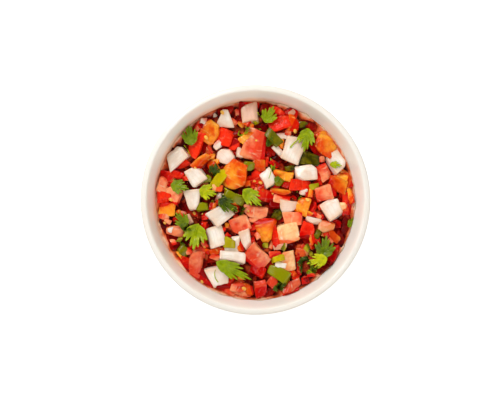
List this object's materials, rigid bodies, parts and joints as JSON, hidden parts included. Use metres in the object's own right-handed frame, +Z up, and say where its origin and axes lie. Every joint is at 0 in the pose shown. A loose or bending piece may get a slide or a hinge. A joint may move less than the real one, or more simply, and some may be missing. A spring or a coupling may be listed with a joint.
{
  "type": "bowl of pico de gallo",
  "caption": "Round off-white porcelain bowl filled with fresh diced salsa of tomato, onion, green chilli and coriander leaves.",
  "frame": {"origin": "middle of the foot ring's underside, where the bowl stands", "axes": "+Z up along the bowl's axis, -Y towards the front of the picture's plan view, +X to its right"},
  "size_m": [0.12, 0.12, 0.0526],
  "materials": {
    "bowl": "glazed off-white porcelain",
    "salsa": "wet diced vegetables",
    "coriander": "fresh green leaf"
  },
  "bodies": {
    "root": {"bowl": "bowl", "salsa": "salsa", "coriander_leaf_01": "coriander", "coriander_leaf_02": "coriander", "coriander_leaf_03": "coriander", "coriander_leaf_04": "coriander", "coriander_leaf_05": "coriander", "coriander_leaf_06": "coriander", "coriander_leaf_07": "coriander", "coriander_leaf_08": "coriander", "coriander_leaf_09": "coriander", "coriander_leaf_10": "coriander", "coriander_leaf_11": "coriander", "coriander_leaf_12": "coriander"}
  },
  "joints": []
}
